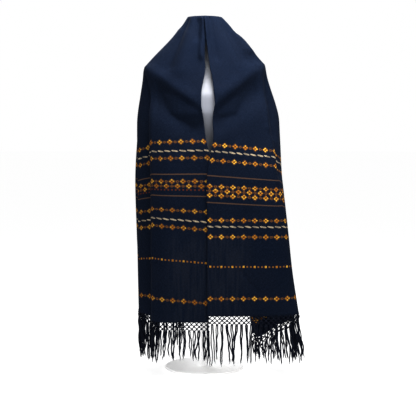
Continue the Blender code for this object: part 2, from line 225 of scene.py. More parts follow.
LEFT_CREASES = (
    Crease(0.040, 0.735, 0.200, 0.832, 0.022, 0.008),  # ridge along the bust break
    Crease(0.030, 0.645, 0.175, 0.745, 0.046, -0.018),
    Crease(0.040, 0.640, 0.085, 0.560, 0.014, -0.004),
    Crease(0.110, 0.640, 0.130, 0.400, 0.030, 0.003),
    Crease(0.026, 0.300, 0.030, 0.020, 0.020, 0.003),
    Crease(0.090, 0.330, 0.084, 0.010, 0.024, -0.003),
    Crease(0.024, 1.030, 0.016, 0.880, 0.012, 0.014),  # rolled edge at the neck
    Crease(0.060, 1.030, 0.052, 0.950, 0.018, -0.014),
    Crease(0.110, 1.050, 0.090, 0.830, 0.030, 0.008),
    Crease(0.165, 1.060, 0.150, 0.850, 0.024, -0.010),
    Crease(0.185, 0.800, 0.192, 0.040, 0.008, 0.002),  # standing fold at the side
    Crease(0.228, 0.810, 0.232, 0.030, 0.010, -0.006),
    Crease(0.330, 0.720, 0.338, 0.180, 0.013, -0.004),
    Crease(0.420, 0.640, 0.436, 0.240, 0.016, 0.005),
    Crease(0.520, 0.700, 0.505, 0.330, 0.014, -0.004),
    Crease(0.600, 0.420, 0.590, 0.060, 0.013, 0.004),
)

# How far the woven rows run off the level of the hem, at heights above it
Slack = namedtuple("Slack", "height edge side")
RIGHT_SLACK = (
    Slack(0.0, 0.0, 0.0),
    Slack(0.310, 0.003, 0.010),
    Slack(0.373, 0.014, 0.024),
    Slack(0.411, 0.012, 0.026),
    Slack(0.460, 0.019, 0.028),
    Slack(0.620, 0.020, 0.030),
)
LEFT_SLACK = (
    Slack(0.0, -0.016, 0.016),
    Slack(0.060, -0.016, 0.021),
    Slack(0.195, -0.016, 0.030),
    Slack(0.304, -0.016, 0.036),
    Slack(0.330, -0.016, 0.040),
    Slack(0.410, -0.006, 0.042),
    Slack(0.490, 0.0, 0.045),
    Slack(0.620, 0.005, 0.047),
)

# Woven rows, by their height above the hem at the inner selvedge. shift is in the row's own pitches.
WovenRow = namedtuple("WovenRow", "kind height shift", defaults=[0.0])
RIGHT_ROWS = (
    WovenRow("diamond", 0.560),
    WovenRow("twist", 0.539),
    WovenRow("diamond", 0.510),
    WovenRow("line", 0.460),
    WovenRow("diamond", 0.4255),
    WovenRow("diamond", 0.4110, 0.5),
    WovenRow("diamond", 0.3965),
    WovenRow("line", 0.373),
    WovenRow("diamond", 0.315),
    WovenRow("twist", 0.294, 0.4),
    WovenRow("diamond", 0.261),
    WovenRow("dots", 0.163),
    WovenRow("diamond", 0.058),
)
LEFT_ROWS = (
    WovenRow("diamond", 0.593),
    WovenRow("twist", 0.563, 0.2),
    WovenRow("diamond", 0.539),
    WovenRow("line", 0.486),
    WovenRow("diamond", 0.462),
    WovenRow("diamond", 0.446, 0.5),
    WovenRow("specks", 0.4335),
    WovenRow("line", 0.413),
    WovenRow("diamond", 0.362),
    WovenRow("twist", 0.329, 0.7),
    WovenRow("diamond", 0.304),
    WovenRow("dots", 0.195),
    WovenRow("diamond", 0.063),
)
MOTIF_PITCH = 0.036
MOTIF_START = 0.010
MOTIF_FLATNESS = 1.16
MOTIF_REACH = 0.0094  # half width of a diamond
MOTIF_MIDDLE = 0.0030  # half width of its dark middle
MOTIF_CROSS = 0.0014  # half thickness of the dark cross on its diagonals
MOTIF_BORDER = 0.0118  # half width of its faint outline
CROSSLET_REACH = 0.0074  # half width of the small cross between
CROSSLET_ARMS = 0.0020  # its thin double lines run this far from its diagonals
ROW_REACH = 0.0125  # half height of a row of diamonds
TWIST_PITCH = 0.0245
TWIST_SLANT = 0.16
TWIST_HALF_LENGTH = 0.0108
TWIST_HALF_HEIGHT = 0.0027
DOT_REACH = 0.0032
DIM_DOT_REACH = 0.0026
LINE_REACH = 0.0019
WARP_PITCH = 0.0012
WEFT_PITCH = 0.0014

# What differs between the halves. sign is the side of the form. The woven rows leave the level of the
# hem towards the ridge, and again from strip_from to the side. The last column scales the bright yarns:
# it dims those of the left half, painted shade as if that half were lit less.
HALF_COLUMNS = "name sign break_line sections hem hug creases slack ridge strip_from rows brightness"
Half = namedtuple("Half", HALF_COLUMNS)
RIGHT_TABLES = (RIGHT_BREAK, RIGHT_SECTIONS, RIGHT_HEM, -0.014, RIGHT_CREASES, RIGHT_SLACK)
LEFT_TABLES = (LEFT_BREAK, LEFT_SECTIONS, LEFT_HEM, 0.014, LEFT_CREASES, LEFT_SLACK)
HALVES = (
    Half("right", 1.0, *RIGHT_TABLES, ridge=EDGE, strip_from=TUCK, rows=RIGHT_ROWS, brightness=1.0),
    Half("left", -1.0, *LEFT_TABLES, ridge=FRONT, strip_from=FRONT, rows=LEFT_ROWS, brightness=0.68),
)

# Grid of the cloth shell
COLUMNS_FRONT = 44
COLUMNS_REAR = 90
COLUMNS_BACK = 20
ROWS_CAP = 7
ROWS_TOP = 44
ROWS_HANG = 104
PLAN_STEPS = 640
BACK_ACROSS = 0.12  # cloth coordinate spanned by the back columns, beyond the outer selvedge

# Net and fringe
NET_PITCH = 0.016
NET_ROWS = 4
NET_DROP = 0.029  # depth of the knotted rows, a little less than the net's room
NET_JITTER = 0.0012
CORD_RADIUS = 0.0015
CORD_BOW = 0.0009
KNOT_RADIUS = 0.0029
KNOT_STRETCH = 1.25
KNOT_RINGS = 5
KNOT_SIDES = 8
STRANDS_PER_KNOT = 2
STRANDS_APART = 0.0050
STRAND_SEGMENTS = 16
STRAND_SIDES = 6
STRAND_RADIUS = (0.0017, 0.0028)
STRAND_TAPER = 0.25
STRAND_LENGTH = (0.78, 1.0)  # as shares of the fringe's reach
STRAND_DRIFT = 0.007
STRAND_SWAY = (0.0006, 0.0026)
STRAND_BULGE = (0.0005, 0.0035)
BUNCH_SIZES = (1, 1, 1, 2, 2, 3)
BUNCH_PULL = (0.20, 0.75)
BUNCH_SHIFT = 0.006
HAIRS_PER_STRAND = 2
HAIR_RADII = (0.0006, 0.0006, 0.0005, 0.0003)
HAIR_SIDES = 4
YARN_TWIST = 0.0045  # length of one turn

# Colours, linear
NAVY = (0.0055, 0.0100, 0.0222)
# A paler navy, for random mottle, for the painted sheen low on the front and for the yarn's lighter
# patches
NAVY_PALER = (0.0130, 0.0172, 0.0290)
NAVY_LIGHT = (0.0160, 0.0250, 0.0480)
NAVY_DEEP = (0.0035, 0.0060, 0.0140)
GOLD = (0.80, 0.47, 0.070)
ORANGE = (0.46, 0.19, 0.022)
RUST = (0.13, 0.035, 0.014)
BEIGE = (0.40, 0.33, 0.23)
BROWN = (0.105, 0.062, 0.040)
STRAND = (0.0060, 0.0070, 0.0140)
# The form's off-white, darkened to a grey by painted shade, for the shade it stands in behind the cloth
FORM_IN_PAINTED_SHADE = (0.20, 0.211, 0.247)
STAND = (0.94, 0.94, 0.95)
WHITE = (1.0, 1.0, 1.0)

# Stage
VIEW_GAMMA = 0.8
FLOOR = (0.30, 0.30, 0.30)
FLOOR_GLOW = 0.90
FLOOR_LEVEL = -0.0005
FLOOR_REACH = 30.0
HORIZON_FADE = (0.16, 0.36)  # upward parts of the directions where the world dims
OVERHEAD_GLOW = 0.25

# Camera
CAMERA_TARGET = (0.0125, -0.060, 0.5572)
CAMERA_DISTANCE = 3.5
CAMERA_ELEVATION = math.radians(4.5)
CAMERA_LENS = 91.2


# ---- cloth surface


def smooth_curve(stations, values, at):
    """Values at the given places on a smooth curve through the stations, with no overshoot."""
    stations = np.asarray(stations, float)
    values = np.asarray(values, float)
    step = np.diff(stations)
    slope = np.diff(values) / step
    tangent = np.zeros_like(values)
    tangent[0] = slope[0]
    tangent[-1] = slope[-1]
    for k in range(1, len(values) - 1):
        if slope[k - 1] * slope[k] > 0:
            tangent[k] = 2 * slope[k - 1] * slope[k] / (slope[k - 1] + slope[k])
    at = np.clip(at, stations[0], stations[-1])
    k = np.clip(np.searchsorted(stations, at) - 1, 0, len(step) - 1)
    t = (at - stations[k]) / step[k]
    rise = values[k] * (2 * t**3 - 3 * t**2 + 1) + values[k + 1] * (3 * t**2 - 2 * t**3)
    lean = tangent[k] * (t**3 - 2 * t**2 + t) + tangent[k + 1] * (t**3 - t**2)
    return rise + lean * step[k]


def through(rows, column, at, key="across"):
    """One column of a named table, read as a smooth curve at the given places."""
    return smooth_curve([getattr(r, key) for r in rows], [getattr(r, column) for r in rows], at)


def section_plan(section, across):
    """The plan points of one hanging section at the given distances from the inner selvedge."""
    fine = np.linspace(0, CLOTH_WIDTH, PLAN_STEPS + 1)
    turn = smooth_curve(WARP_LINES, section[3:-1], fine)
    behind = np.maximum(fine - SIDE, 0)
    turn = np.radians(turn + section.wave * np.sin(2 * np.pi * behind / FLUTE_PITCH))
    step = fine[1] - fine[0]
    middle = (turn[1:] + turn[:-1]) / 2
    x = section.x + np.concatenate([[0], np.cumsum(np.cos(middle) * step)])
    y = section.y + np.concatenate([[0], np.cumsum(np.sin(middle) * step)])
    return np.interp(across, fine, x), np.interp(across, fine, y)


Patch = namedtuple("Patch", "points across height")  # a grid with its cloth coordinates


def columns():
    """(distance from the inner selvedge, share of the way round the neck) for each column."""
    front = np.linspace(INNER, EDGE, COLUMNS_FRONT + 1)
    rear = np.linspace(EDGE, OUTER, COLUMNS_REAR + 1)[1:]
    across = np.concatenate([front, rear])
    hanging = np.interp(across, [INNER, EDGE, OUTER], [0.0, ROUND_EDGE, ROUND_OUTER])
    behind = np.linspace(ROUND_OUTER, 1.0, COLUMNS_BACK + 1)[1:]
    return across, np.concatenate([hanging, behind])


def lower_edge(across, break_line, folds):
    """The lower edge of the top stretch, without and with the lengthwise folds."""
    points = np.stack([through(break_line, axis, across) for axis in "xyz"], axis=1)
    plan = np.stack(section_plan(folds, np.append(across, SIDE)), axis=1)
    side = np.array([through(break_line, axis, np.array([SIDE]))[0] for axis in "xy"])
    rear = across > SIDE
    points[rear, :2] = side + plan[:-1][rear] - plan[-1]
    corner = points[-1]
    smooth = points.copy()
    share = (across[rear, None] - SIDE) / (OUTER - SIDE)
    smooth[rear, :2] = side + (corner[:2] - side) * share
    angle = np.linspace(0, np.pi / 2, COLUMNS_BACK + 1)[1:]
    behind = corner + (np.array(CENTRE_BACK) - corner) * np.sin(angle)[:, None]
    behind[:, 0] = corner[0] * np.cos(angle)
    return np.concatenate([smooth, behind]), np.concatenate([points, behind])


def top_rows(smooth_end, folded_end, round_share, hug):
    """The rows from the middle of the cap, over its rim, and down to the lower edge."""
    angle = np.pi * round_share
    level = CAP_TOP + CLOTH_ON_CAP
    out = np.stack([np.sin(angle), -np.cos(angle)], axis=1)
    slit = SLIT_HALF * np.clip(1 - round_share / SLIT_REACH, 0, 1)
    rows = []
    for share in np.linspace(0, 1, ROWS_CAP + 1):
        radius = HOLE_RADIUS + (RIM_RADIUS - HOLE_RADIUS) * share
        row = np.column_stack([out * radius, np.full(len(angle), level - RIM_DROP * share**4)])
        row[:, 0] += slit * share
        rows.append(row)
    rim = rows[-1]
    chord = smooth_end - rim
    outward = np.column_stack([out, np.full(len(angle), COWL_LEAN)])
    to_back = np.interp(round_share, COWL_RAMP, [0, 1])
    to_side = np.exp(-(((round_share - HUG_MIDDLE) / HUG_SPREAD) ** 2))
    for share in np.linspace(0, 1, ROWS_TOP + 1)[1:]:
        row = rim + chord * share + (folded_end - smooth_end) * share**2
        dip = hug / 2 * math.sin(math.pi * min(share / HUG_DIP, 1)) * (1 - share)
        row[:, 2] -= dip * (1 - round_share**2)
        fold_share = max(0.0, (share - COWL_START) / (1 - COWL_START))
        wave = math.sin(2 * math.pi * COWL_COUNT * fold_share) * min(1, 3 * fold_share)
        row += outward * (COWL_DEPTH * wave * to_back)[:, None]
        row[:, 0] -= hug * to_side * math.sin(math.pi * share) ** 2 * (1 - share)
        rows.append(row)
    return np.array(rows)


def hanging_rows(across, sections, hem, start):
    """The rows below the break line, down to the hem."""
    levels = [s.level for s in sections]
    plans = [section_plan(s, across) for s in sections[1:]]
    height = through(hem, "height", across)
    shares = np.linspace(0, 1, ROWS_HANG + 1)[1:]
    rows = np.zeros((len(shares), len(across), 3))
    for i in range(len(across)):
        for axis in (0, 1):
            path = [start[i, axis]] + [plan[axis][i] for plan in plans]
            rows[:, i, axis] = smooth_curve(levels, path, shares)
        rows[:, i, 2] = start[i, 2] + (height[i] - start[i, 2]) * shares
    return rows


def lap_over(top, across, half):
    """Brings the inner selvedges together over the neck, the right one in front."""
    shares = np.linspace(0, 1, ROWS_TOP + 1)
    near = np.exp(-((across / LAP_SPREAD) ** 2))
    shift = through(LAP, half.name, shares, key="share")[:, None] * near
    forward = through(LAP, "forward", shares, key="share")[:, None] * near
    if half.sign < 0:
        forward = -forward / 2
    reach = len(across)
    on_cap = np.linspace(0, 1, ROWS_CAP + 1)[:-1, None]
    top[:ROWS_CAP, :reach, 0] -= shift[0] * on_cap
    top[:ROWS_CAP, :reach, 2] -= forward[0] * on_cap / 3
    top[ROWS_CAP:, :reach, 0] -= shift
    top[ROWS_CAP:, :reach, 1] -= forward


def unit(vectors):
    """The vectors at length 1."""
    return vectors / np.maximum(np.linalg.norm(vectors, axis=-1, keepdims=True), 1e-12)


def normals(grid):
    """Unit normals of a grid of points, on the outer side of the cloth."""
    return unit(np.cross(np.gradient(grid, axis=0), np.gradient(grid, axis=1)))


def heights_from_below(grid):
    """For each point, the length of its column below it, ending in 0 at the last row."""
    pieces = np.linalg.norm(np.diff(grid, axis=0), axis=2)
    below = np.cumsum(pieces[::-1], axis=0)[::-1]
    return np.concatenate([below, np.zeros((1, grid.shape[1]))])


def crease_depths(creases, across, height):
    """How far the creases move each point outwards."""
    depth = np.zeros_like(across)
    for crease in creases:
        start = np.array([crease.across0, crease.height0])
        way = np.array([crease.across1, crease.height1]) - start
        offset = np.stack([across - start[0], height - start[1]], axis=-1)
        along = np.clip(offset @ way / (way @ way), 0, 1)
        apart = np.linalg.norm(offset - along[..., None] * way, axis=-1)
        depth += crease.depth * np.exp(-((apart / crease.width) ** 2))
    return depth


def clear_of_form(points):
    """Moves points that a crease has pressed into the form back out to its surface."""
    for name in ("form_torso", "form_neck_cap"):
        node = frame["nodes"][name]
        tree = BVHTree.FromObject(node, bpy.context.evaluated_depsgraph_get())
        to_world = node.matrix_world
        to_node = to_world.inverted()
        for point in points:
            local = to_node @ Vector(point)
            place, normal, _, apart = tree.find_nearest(local)
            out = (local - place).dot(normal)
            outside = out > 0 and apart > 2 * FORM_CLEARANCE
            if out < FORM_CLEARANCE and not outside:
                point[:] = to_world @ (place + normal * FORM_CLEARANCE)


def half_shawl(half):
    """One half, worked out on the +X side: its top patch and its hanging patch."""
    across, round_share = columns()
    hung = len(across)
    top = top_rows(*lower_edge(across, half.break_line, half.sections[0]), round_share, half.hug)
    hanging = hanging_rows(across, half.sections, half.hem, top[-1, :hung])
    lap_over(top, across, half)
    below = np.linspace(0, 1, ROWS_HANG + 1)[1:]
    near = np.exp(-((across / LAP_SPREAD) ** 2))
    hanging[..., 0] -= through(HANGING_LAP, half.name, below, key="share")[:, None] * near
    beyond = OUTER + np.linspace(0, BACK_ACROSS, COLUMNS_BACK + 1)[1:]
    wide = np.concatenate([across, beyond])
    low_height = heights_from_below(np.concatenate([top[-1:, :hung], hanging]))
    top_height = heights_from_below(top)
    top_height += np.concatenate([low_height[0], np.full(COLUMNS_BACK, low_height[0, -1])])
    whole = np.concatenate([top[:, :hung], hanging])
    whole_height = np.concatenate([top_height[:, :hung], low_height[1:]])
    spread = np.linalg.norm(np.gradient(whole, axis=1), axis=2) / np.gradient(across)
    whole_across = np.broadcast_to(across, whole_height.shape)
    depth = crease_depths(half.creases, whole_across, whole_height)
    moved = whole + normals(whole) * (depth * np.clip(spread, 0, 1))[..., None]
    mirror = np.array([half.sign, 1.0, 1.0])
    touched = (np.abs(depth) > 1e-4) & (whole[..., 2] > FORM_REACH)
    pressed = moved[touched] * mirror
    clear_of_form(pressed)
    moved[touched] = pressed * mirror
    top[ROWS_CAP + 1 :, :hung] = moved[ROWS_CAP + 1 : len(top)]
    return (
        Patch(top * mirror, np.broadcast_to(wide, top_height.shape), top_height),
        Patch(moved[len(top) :] * mirror, whole_across[len(top) :], low_height[1:]),
    )


def woven_height(half, across, height):
    """The height by which the woven rows are placed, so that they run as the cloth hangs."""
    inner = through(half.slack, "edge", height, key="height") * np.clip(across / half.ridge, 0, 1)
    strip = through(half.slack, "side", height, key="height")
    on_strip = np.clip((across - half.strip_from) / (SIDE - half.strip_from), 0, 1)
    return height + inner + strip * on_strip


def grid_faces(index, flipped):
    """The quads of a grid of vertex numbers."""
    quads = np.stack([index[:-1, :-1], index[1:, :-1], index[1:, 1:], index[:-1, 1:]], axis=-1)
    quads = quads.reshape(-1, 4)
    return quads[:, ::-1] if flipped else quads


def build_web():
    """The whole shawl as one shell. Returns it with the line of each half's hem."""
    points, weave, faces, slots, hems = [], [], [], [], []
    start = 0
    centre_back = None
    for end_slot, half in enumerate(HALVES):
        grids = []
        for patch in half_shawl(half):
            grids.append(start + np.arange(patch.height.size).reshape(patch.height.shape))
            start += patch.height.size
            points.append(patch.points.reshape(-1, 3))
            woven = woven_height(half, patch.across, patch.height)
            weave.append(np.stack([patch.across, woven], axis=-1).reshape(-1, 2))
        top_index, low_index = grids
        if centre_back is None:
            centre_back = top_index[:, -1].copy()
        else:
            top_index[:, -1] = centre_back
        end_index = np.concatenate([top_index[-1:, : low_index.shape[1]], low_index])
        for index, slot in ((top_index, len(HALVES)), (end_index, end_slot)):
            faces.append(grid_faces(index, flipped=half.sign < 0))
            slots.append(np.full(len(faces[-1]), slot))
        hems.append(patch.points[-1])
    weave = np.concatenate(weave)
    faces = np.concatenate(faces)
    mesh = bpy.data.meshes.new("shawl_web")
    mesh.from_pydata(np.concatenate(points).tolist(), [], faces.tolist())
    mesh.polygons.foreach_set("material_index", np.concatenate(slots).astype(np.int32))
    layer = mesh.uv_layers.new(name="weave")
    layer.data.foreach_set("uv", weave[faces.reshape(-1)].astype(np.float32).reshape(-1))
    mesh.shade_smooth()
    drop_loose(mesh)
    web = add_object("shawl_web", mesh)
    thick = web.modifiers.new("cloth_thickness", "SOLIDIFY")
    thick.thickness = CLOTH_THICKNESS
    thick.offset = 0.0
    return web, hems


def add_object(name, data):
    """A new object in the scene."""
    made = bpy.data.objects.new(name, data)
    bpy.context.scene.collection.objects.link(made)
    return made


def drop_loose(mesh):
    """Removes the points that no face uses, such as one half's own copy of the centre back."""
    bm = bmesh.new()
    bm.from_mesh(mesh)
    for loose in [v for v in bm.verts if not v.link_faces]:
        bm.verts.remove(loose)
    bm.to_mesh(mesh)
    bm.free()


# ---- net and fringe


class Strands:
    """Gathers round cords and knots into one mesh."""

    def __init__(self):
        self.points, self.faces, self.uvs = [], [], []
        self.count = 0

    def tube(self, path, radii, sides):
        """A closed tube along a path, with a radius for each of its points."""
        path = np.asarray(path, float)
        radii = np.broadcast_to(radii, len(path))
        way = unit(np.gradient(path, axis=0))
        side = unit(np.cross(way, [0.31, 0.95, 0.05]))
        other = np.cross(way, side)
        angle = 2 * np.pi * np.arange(sides) / sides
        ring = side[:, None] * np.cos(angle)[:, None] + other[:, None] * np.sin(angle)[:, None]
        self.points.append((path[:, None] + ring * radii[:, None, None]).reshape(-1, 3))
        length = np.concatenate([[0], np.cumsum(np.linalg.norm(np.diff(path, axis=0), axis=1))])
        index = self.count + np.arange(len(path) * sides).reshape(len(path), sides)
        self.count += index.size
        for j in range(len(path) - 1):
            for k in range(sides):
                n = (k + 1) % sides
                self.faces.append((index[j, k], index[j, n], index[j + 1, n], index[j + 1, k]))
                low, high = length[j], length[j + 1]
                self.uvs += [(k / sides, low), ((k + 1) / sides, low)]
                self.uvs += [((k + 1) / sides, high), (k / sides, high)]
        for cap in (index[0, ::-1], index[-1]):
            self.faces.append(tuple(cap))
            self.uvs += [(0.5, 0.0)] * sides

    def knot(self, place, radius):
        """A small round knot, a little longer than wide."""
        angles = np.linspace(0.12, np.pi - 0.12, KNOT_RINGS)
        path = [place + np.array([0, 0, -math.cos(a) * radius * KNOT_STRETCH]) for a in angles]
        self.tube(path, radius * np.sin(angles), KNOT_SIDES)

    def finish(self, name, surface):
        """The gathered cords and knots as an object."""
        mesh = bpy.data.meshes.new(name)
        mesh.from_pydata(np.concatenate(self.points).tolist(), [], self.faces)
        layer = mesh.uv_layers.new(name="strand")
        layer.data.foreach_set("uv", np.array(self.uvs, np.float32).reshape(-1))
        mesh.materials.append(surface)
        mesh.shade_smooth()
        return add_object(name, mesh)


class HemLine:
    """Places on and under one hem, by distance from the inner selvedge."""

    def __init__(self, half, points):
        self.half = half
        self.points = points
        self.across, _ = columns()
        run = np.gradient(points, axis=0) * half.sign
        self.out = unit(np.stack([run[:, 1], -run[:, 0], 0 * run[:, 0]], axis=1))

    def at(self, across, drop, outward):
        """The place that far along the hem, below it and out from the cloth."""
        across = np.clip(across, 0, CLOTH_WIDTH)
        place, out = (
            np.array([np.interp(across, self.across, values[:, k]) for k in range(3)])
            for values in (self.points, self.out)
        )
        return place + out * outward + np.array([0.0, 0.0, -drop])

    def read(self, column, across):
        """One column of the half's hem table at a distance from the inner selvedge."""
        return float(through(self.half.hem, column, np.array([across]))[0])


def knot_lines(row):
    """Distances across of the knots of one net row."""
    count = round(CLOTH_WIDTH / NET_PITCH)
    shift = 0.5 * (row % 2)
    return [(i + shift) * NET_PITCH for i in range(count + 1 - (row % 2))]


def build_net(line, surface, rng):
    """Cords from the hem, tied into rows of open meshes."""
    strands = Strands()
    step = NET_DROP / NET_ROWS
    places = []
    for row in range(NET_ROWS + 1):
        placed = {}
        for across in knot_lines(row):
            drop = row * step + (rng.uniform(-NET_JITTER, NET_JITTER) if row else -0.001)
            sway = rng.uniform(-NET_JITTER, NET_JITTER) * min(row, 1)
            place = line.at(across + sway, drop, rng.uniform(-0.001, 0.001))
            placed[round(across / NET_PITCH * 2)] = place
        places.append(placed)
    for upper, lower in zip(places, places[1:]):
        for key, place in upper.items():
            for other in (key - 1, key + 1):
                if other not in lower:
                    continue
                share = np.linspace(0, 1, 6)[:, None]
                path = place * (1 - share) + lower[other] * share
                bow = np.sin(np.pi * share) * (other - key) * CORD_BOW * line.half.sign
                path[:, 0] += bow[:, 0]
                strands.tube(path, CORD_RADIUS, STRAND_SIDES)
    for row, placed in enumerate(places):
        for place in placed.values():
            size = KNOT_RADIUS * (rng.uniform(0.85, 1.15) if row else 0.7)
            strands.knot(place, size)
    return strands.finish(f"{line.half.name}_knotted_net", surface)


def build_fringe(line, surface, rng):
    """Free strands under the last row of knots, drawn together in uneven bunches."""
    strands = Strands()
    knots = knot_lines(NET_ROWS)
    bunch_of = []
    while len(bunch_of) < len(knots):
        size = int(rng.choice(BUNCH_SIZES))
        middle = np.mean(knots[len(bunch_of) : len(bunch_of) + size])
        pull = rng.uniform(*BUNCH_PULL)
        bunch_of += [(middle + rng.uniform(-BUNCH_SHIFT, BUNCH_SHIFT), pull)] * size
    share = np.linspace(0, 1, STRAND_SEGMENTS + 1)
    for across, (middle, pull) in zip(knots, bunch_of):
        for k in range(STRANDS_PER_KNOT):
            spot = across + (k - (STRANDS_PER_KNOT - 1) / 2) * STRANDS_APART
            reach = line.read("fringe", across) + NET_DEPTH - NET_DROP
            flare = line.read("flare", across) * line.half.sign
            length = reach * rng.uniform(*STRAND_LENGTH)
            gather = pull * np.clip(share / 0.75, 0, 1) ** 1.2 * rng.uniform(0.6, 1.0)
            wave = np.sin(2 * np.pi * (share * rng.uniform(0.8, 2.2) + rng.uniform(0, 1)))
            small = np.sin(2 * np.pi * (share * rng.uniform(3.0, 6.0) + rng.uniform(0, 1)))
            free = np.clip(share * 4, 0, 1)
            sway = (wave * rng.uniform(*STRAND_SWAY) + small * 0.0004) * free
            drift = rng.uniform(-STRAND_DRIFT, STRAND_DRIFT) * share**1.6
            along = spot + (middle - across) * gather + sway + drift
            spin = np.sin(2 * np.pi * (share * rng.uniform(0.8, 1.8) + rng.uniform(0, 1)))
            outward = spin * rng.uniform(*STRAND_BULGE) * free
            path = [
                line.at(a, NET_DROP + length * s, o) + np.array([flare * s, 0, 0])
                for a, s, o in zip(along, share, outward)
            ]
            thick = rng.uniform(*STRAND_RADIUS)
            strands.tube(path, thick * (1 - STRAND_TAPER * share**3), STRAND_SIDES)
            for _ in range(HAIRS_PER_STRAND):
                end = path[-1]
                away = np.array([rng.uniform(-0.003, 0.003), rng.uniform(-0.002, 0.002), -0.007])
                hair = [path[-2], end, end + away * 0.5, end + away * rng.uniform(0.7, 1.0)]
                strands.tube(hair, HAIR_RADII, HAIR_SIDES)
    return strands.finish(f"{line.half.name}_fringe_strands", surface)


# ---- materials


class Graph:
    """Short calls that add nodes to a material and wire them."""

    def __init__(self, material):
        material.use_nodes = True
        self.tree = material.node_tree
        self.shader = self.tree.nodes["Principled BSDF"]

    def wire(self, source, target):
        if isinstance(source, bpy.types.NodeSocket):
            self.tree.links.new(source, target)
        else:
            target.default_value = source

    def math(self, operation, *values):
        node = self.tree.nodes.new("ShaderNodeMath")
        node.operation = operation
        for source, target in zip(values, node.inputs):
            self.wire(source, target)
        return node.outputs[0]

    def times(self, first, second):
        return self.math("MULTIPLY", first, second)

    def size(self, value):
        return self.math("ABSOLUTE", value)

    def near(self, distance, reach, soft):
        """1 where the distance is under reach, fading to 0 over soft."""
        return self.ramp(distance, reach - soft / 2, reach + soft / 2, 1.0, 0.0, "SMOOTHSTEP")

    def ramp(self, value, low, high, low_to=0.0, high_to=1.0, kind="LINEAR"):
        """The value taken from one range to another, and held at the ends."""
        node = self.tree.nodes.new("ShaderNodeMapRange")
        node.interpolation_type = kind
        for source, target in zip((value, low, high, low_to, high_to), node.inputs):
            self.wire(source, target)
        return node.outputs[0]

    def mix(self, factor, first, second):
        node = self.tree.nodes.new("ShaderNodeMix")
        node.data_type = "RGBA"
        named = {s.identifier: s for s in node.inputs}
        self.wire(factor, named["Factor_Float"])
        for source, key in ((first, "A_Color"), (second, "B_Color")):
            self.wire(colour(source), named[key])
        return next(s for s in node.outputs if s.identifier == "Result_Color")

    def noise(self, vector, scale, detail=3.0):
        node = self.tree.nodes.new("ShaderNodeTexNoise")
        self.tree.links.new(vector, node.inputs["Vector"])
        node.inputs["Scale"].default_value = scale
        node.inputs["Detail"].default_value = detail
        node.inputs["Roughness"].default_value = 0.55
        return node.outputs["Fac"]

    def vector(self, x, y):
        node = self.tree.nodes.new("ShaderNodeCombineXYZ")
        self.wire(x, node.inputs[0])
        self.wire(y, node.inputs[1])
        return node.outputs[0]

    def uv(self, name):
        """The two cloth or strand coordinates of a named layer."""
        node = self.tree.nodes.new("ShaderNodeUVMap")
        node.uv_map = name
        apart = self.tree.nodes.new("ShaderNodeSeparateXYZ")
        self.tree.links.new(node.outputs[0], apart.inputs[0])
        return apart.outputs[0], apart.outputs[1]

    def place(self):
        """The place in the object's own coordinates."""
        return self.tree.nodes.new("ShaderNodeTexCoord").outputs["Object"]

    def bump(self, height, distance, strength, normal=None):
        node = self.tree.nodes.new("ShaderNodeBump")
        if normal is not None:
            self.tree.links.new(normal, node.inputs["Normal"])
        node.inputs["Distance"].default_value = distance
        node.inputs["Strength"].default_value = strength
        self.tree.links.new(height, node.inputs["Height"])
        self.tree.links.new(node.outputs[0], self.shader.inputs["Normal"])

    def largest(self, values):
        found = values[0]
        for value in values[1:]:
            found = self.math("MAXIMUM", found, value)
        return found

    def apart(self, first, second):
        """How far apart two values are."""
        return self.size(self.math("SUBTRACT", first, second))


def colour(value):
    """A linear colour with its alpha, or a socket as it is."""
    return value if isinstance(value, bpy.types.NodeSocket) else (*value, 1.0)


def offset_in_repeat(graph, across, pitch, start):
    """Signed distance from the middle of the nearest repeat."""
    moved = graph.math("ADD", across, pitch / 2 - start)
    wrapped = graph.math("FLOORED_MODULO", moved, pitch)
    return graph.math("SUBTRACT", wrapped, pitch / 2)


def diamond_row(graph, across, rise, shift):
    """Four lozenges round a dark middle, and a faint small cross between: (gold, rust, dim)."""
    start = MOTIF_START + shift * MOTIF_PITCH
    flat_rise = graph.times(rise, MOTIF_FLATNESS)
    far, close = diagonal_distances(graph, across, flat_rise, start)
    inside = graph.near(far, MOTIF_REACH, 0.0012)
    middle = graph.near(far, MOTIF_MIDDLE, 0.0010)
    cross = graph.near(close, MOTIF_CROSS, 0.0010)
    hole = graph.math("MAXIMUM", cross, middle)
    gold = graph.times(inside, graph.math("SUBTRACT", 1.0, hole))
    rust = graph.times(inside, hole)
    border = graph.near(graph.apart(far, MOTIF_BORDER), 0.0008, 0.0010)
    far, close = diagonal_distances(graph, across, flat_rise, start + MOTIF_PITCH / 2)
    crosslet = graph.near(far, CROSSLET_REACH, 0.0012)
    arms = graph.near(graph.apart(close, CROSSLET_ARMS), 0.0009, 0.0009)
    crosslet = graph.times(crosslet, arms)
    dim = graph.math("MAXIMUM", crosslet, graph.times(border, 0.45))
    here = graph.near(graph.size(rise), ROW_REACH, 0.001)
    return gold, rust, graph.times(dim, here)


def diagonal_distances(graph, across, rise, start):
    """The larger and the smaller distance from the two diagonals of the nearest motif."""
    beside = offset_in_repeat(graph, across, MOTIF_PITCH, start)
    leaning = graph.size(graph.math("ADD", beside, rise))
    falling = graph.apart(beside, rise)
    return graph.math("MAXIMUM", leaning, falling), graph.math("MINIMUM", leaning, falling)


def twist_row(graph, across, rise, shift, lean):
    """Slanted light dashes like the turns of a twisted cord."""
    beside = offset_in_repeat(graph, across, TWIST_PITCH, shift * TWIST_PITCH)
    slanted = graph.math("MULTIPLY_ADD", beside, TWIST_SLANT * lean, rise)
    length = graph.size(graph.math("DIVIDE", beside, TWIST_HALF_LENGTH))
    height = graph.size(graph.math("DIVIDE", slanted, TWIST_HALF_HEIGHT))
    oval = graph.math("ADD", graph.math("POWER", length, 2.6), graph.math("POWER", height, 2.0))
    return graph.near(oval, 1.0, 0.5)


